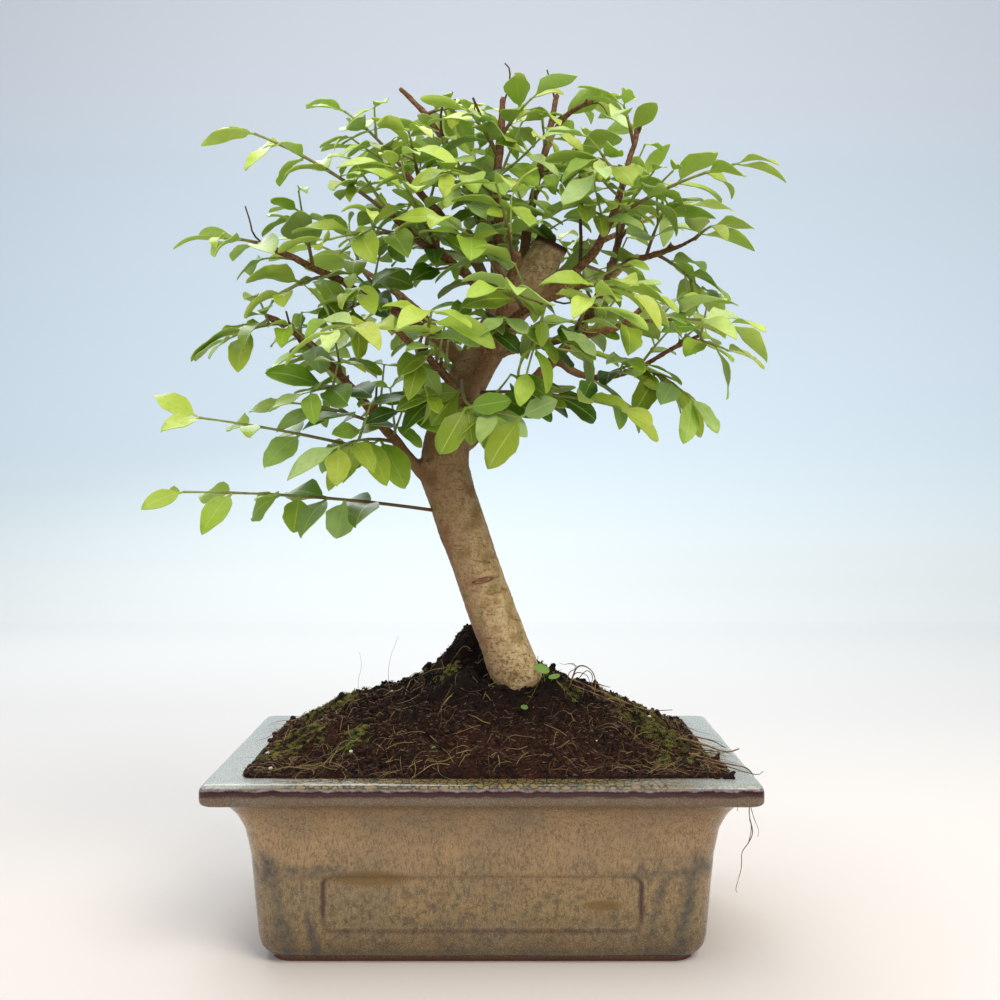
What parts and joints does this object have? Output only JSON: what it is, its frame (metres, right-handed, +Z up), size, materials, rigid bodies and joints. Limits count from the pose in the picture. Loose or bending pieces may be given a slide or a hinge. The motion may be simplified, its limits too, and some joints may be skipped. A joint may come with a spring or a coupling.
{
  "type": "chinese privet bonsai in a glazed pot",
  "caption": "Leaning bonsai tree with layered sprays of small oval leaves, standing in mounded peat soil in a glazed rectangular pot with a turned-out rim and sunk side panels.",
  "frame": {"origin": "middle of the pot's underside, on the surface that the pot stands on", "axes": "+X to the right along the pot's length seen from the front, -Y out of the front that the picture shows, +Z up"},
  "size_m": [0.2437, 0.1991, 0.3445],
  "materials": {
    "glazed_stoneware": "gloss",
    "netting": "matte",
    "peat_soil": "matte",
    "bark": "matte",
    "leaves": "satin"
  },
  "bodies": {
    "root": {"pot": "glazed_stoneware", "drain_mesh_left": "netting", "drain_mesh_right": "netting", "soil": "peat_soil", "trunk": "bark", "spray_trunk_1": "leaves", "spray_trunk_2": "leaves", "spray_trunk_3": "leaves", "spray_left_1": "leaves", "spray_left_2": "leaves", "spray_left_3": "leaves", "spray_left_4": "leaves", "spray_left_5": "leaves", "spray_left_6": "leaves", "spray_mid_left_1": "leaves", "spray_mid_left_2": "leaves", "spray_mid_left_3": "leaves", "spray_mid_left_4": "leaves", "spray_mid_left_5": "leaves", "spray_upper_left_1": "leaves", "spray_upper_left_2": "leaves", "spray_upper_left_3": "leaves", "spray_crown_left_1": "leaves", "spray_crown_left_2": "leaves", "spray_crown_back_left_1": "leaves", "spray_crown_back_left_2": "leaves", "spray_crown_1": "leaves", "spray_crown_2": "leaves", "spray_crown_3": "leaves", "spray_crown_right_1": "leaves", "spray_crown_right_2": "leaves", "spray_right_1": "leaves", "spray_right_2": "leaves", "spray_right_3": "leaves", "spray_right_back_1": "leaves", "spray_right_back_2": "leaves", "spray_right_side_1": "leaves", "spray_right_side_2": "leaves", "spray_right_side_3": "leaves", "spray_mid_right_1": "leaves", "spray_mid_right_2": "leaves", "spray_low_right_1": "leaves", "spray_low_right_2": "leaves", "spray_front_1": "leaves", "spray_front_2": "leaves", "spray_front_left_1": "leaves", "spray_front_left_2": "leaves", "spray_front_right_1": "leaves", "spray_front_right_2": "leaves", "spray_back_left_1": "leaves", "spray_back_left_2": "leaves", "spray_back_right_1": "leaves", "spray_back_right_2": "leaves", "spray_back_1": "leaves", "spray_back_2": "leaves"}
  },
  "joints": []
}
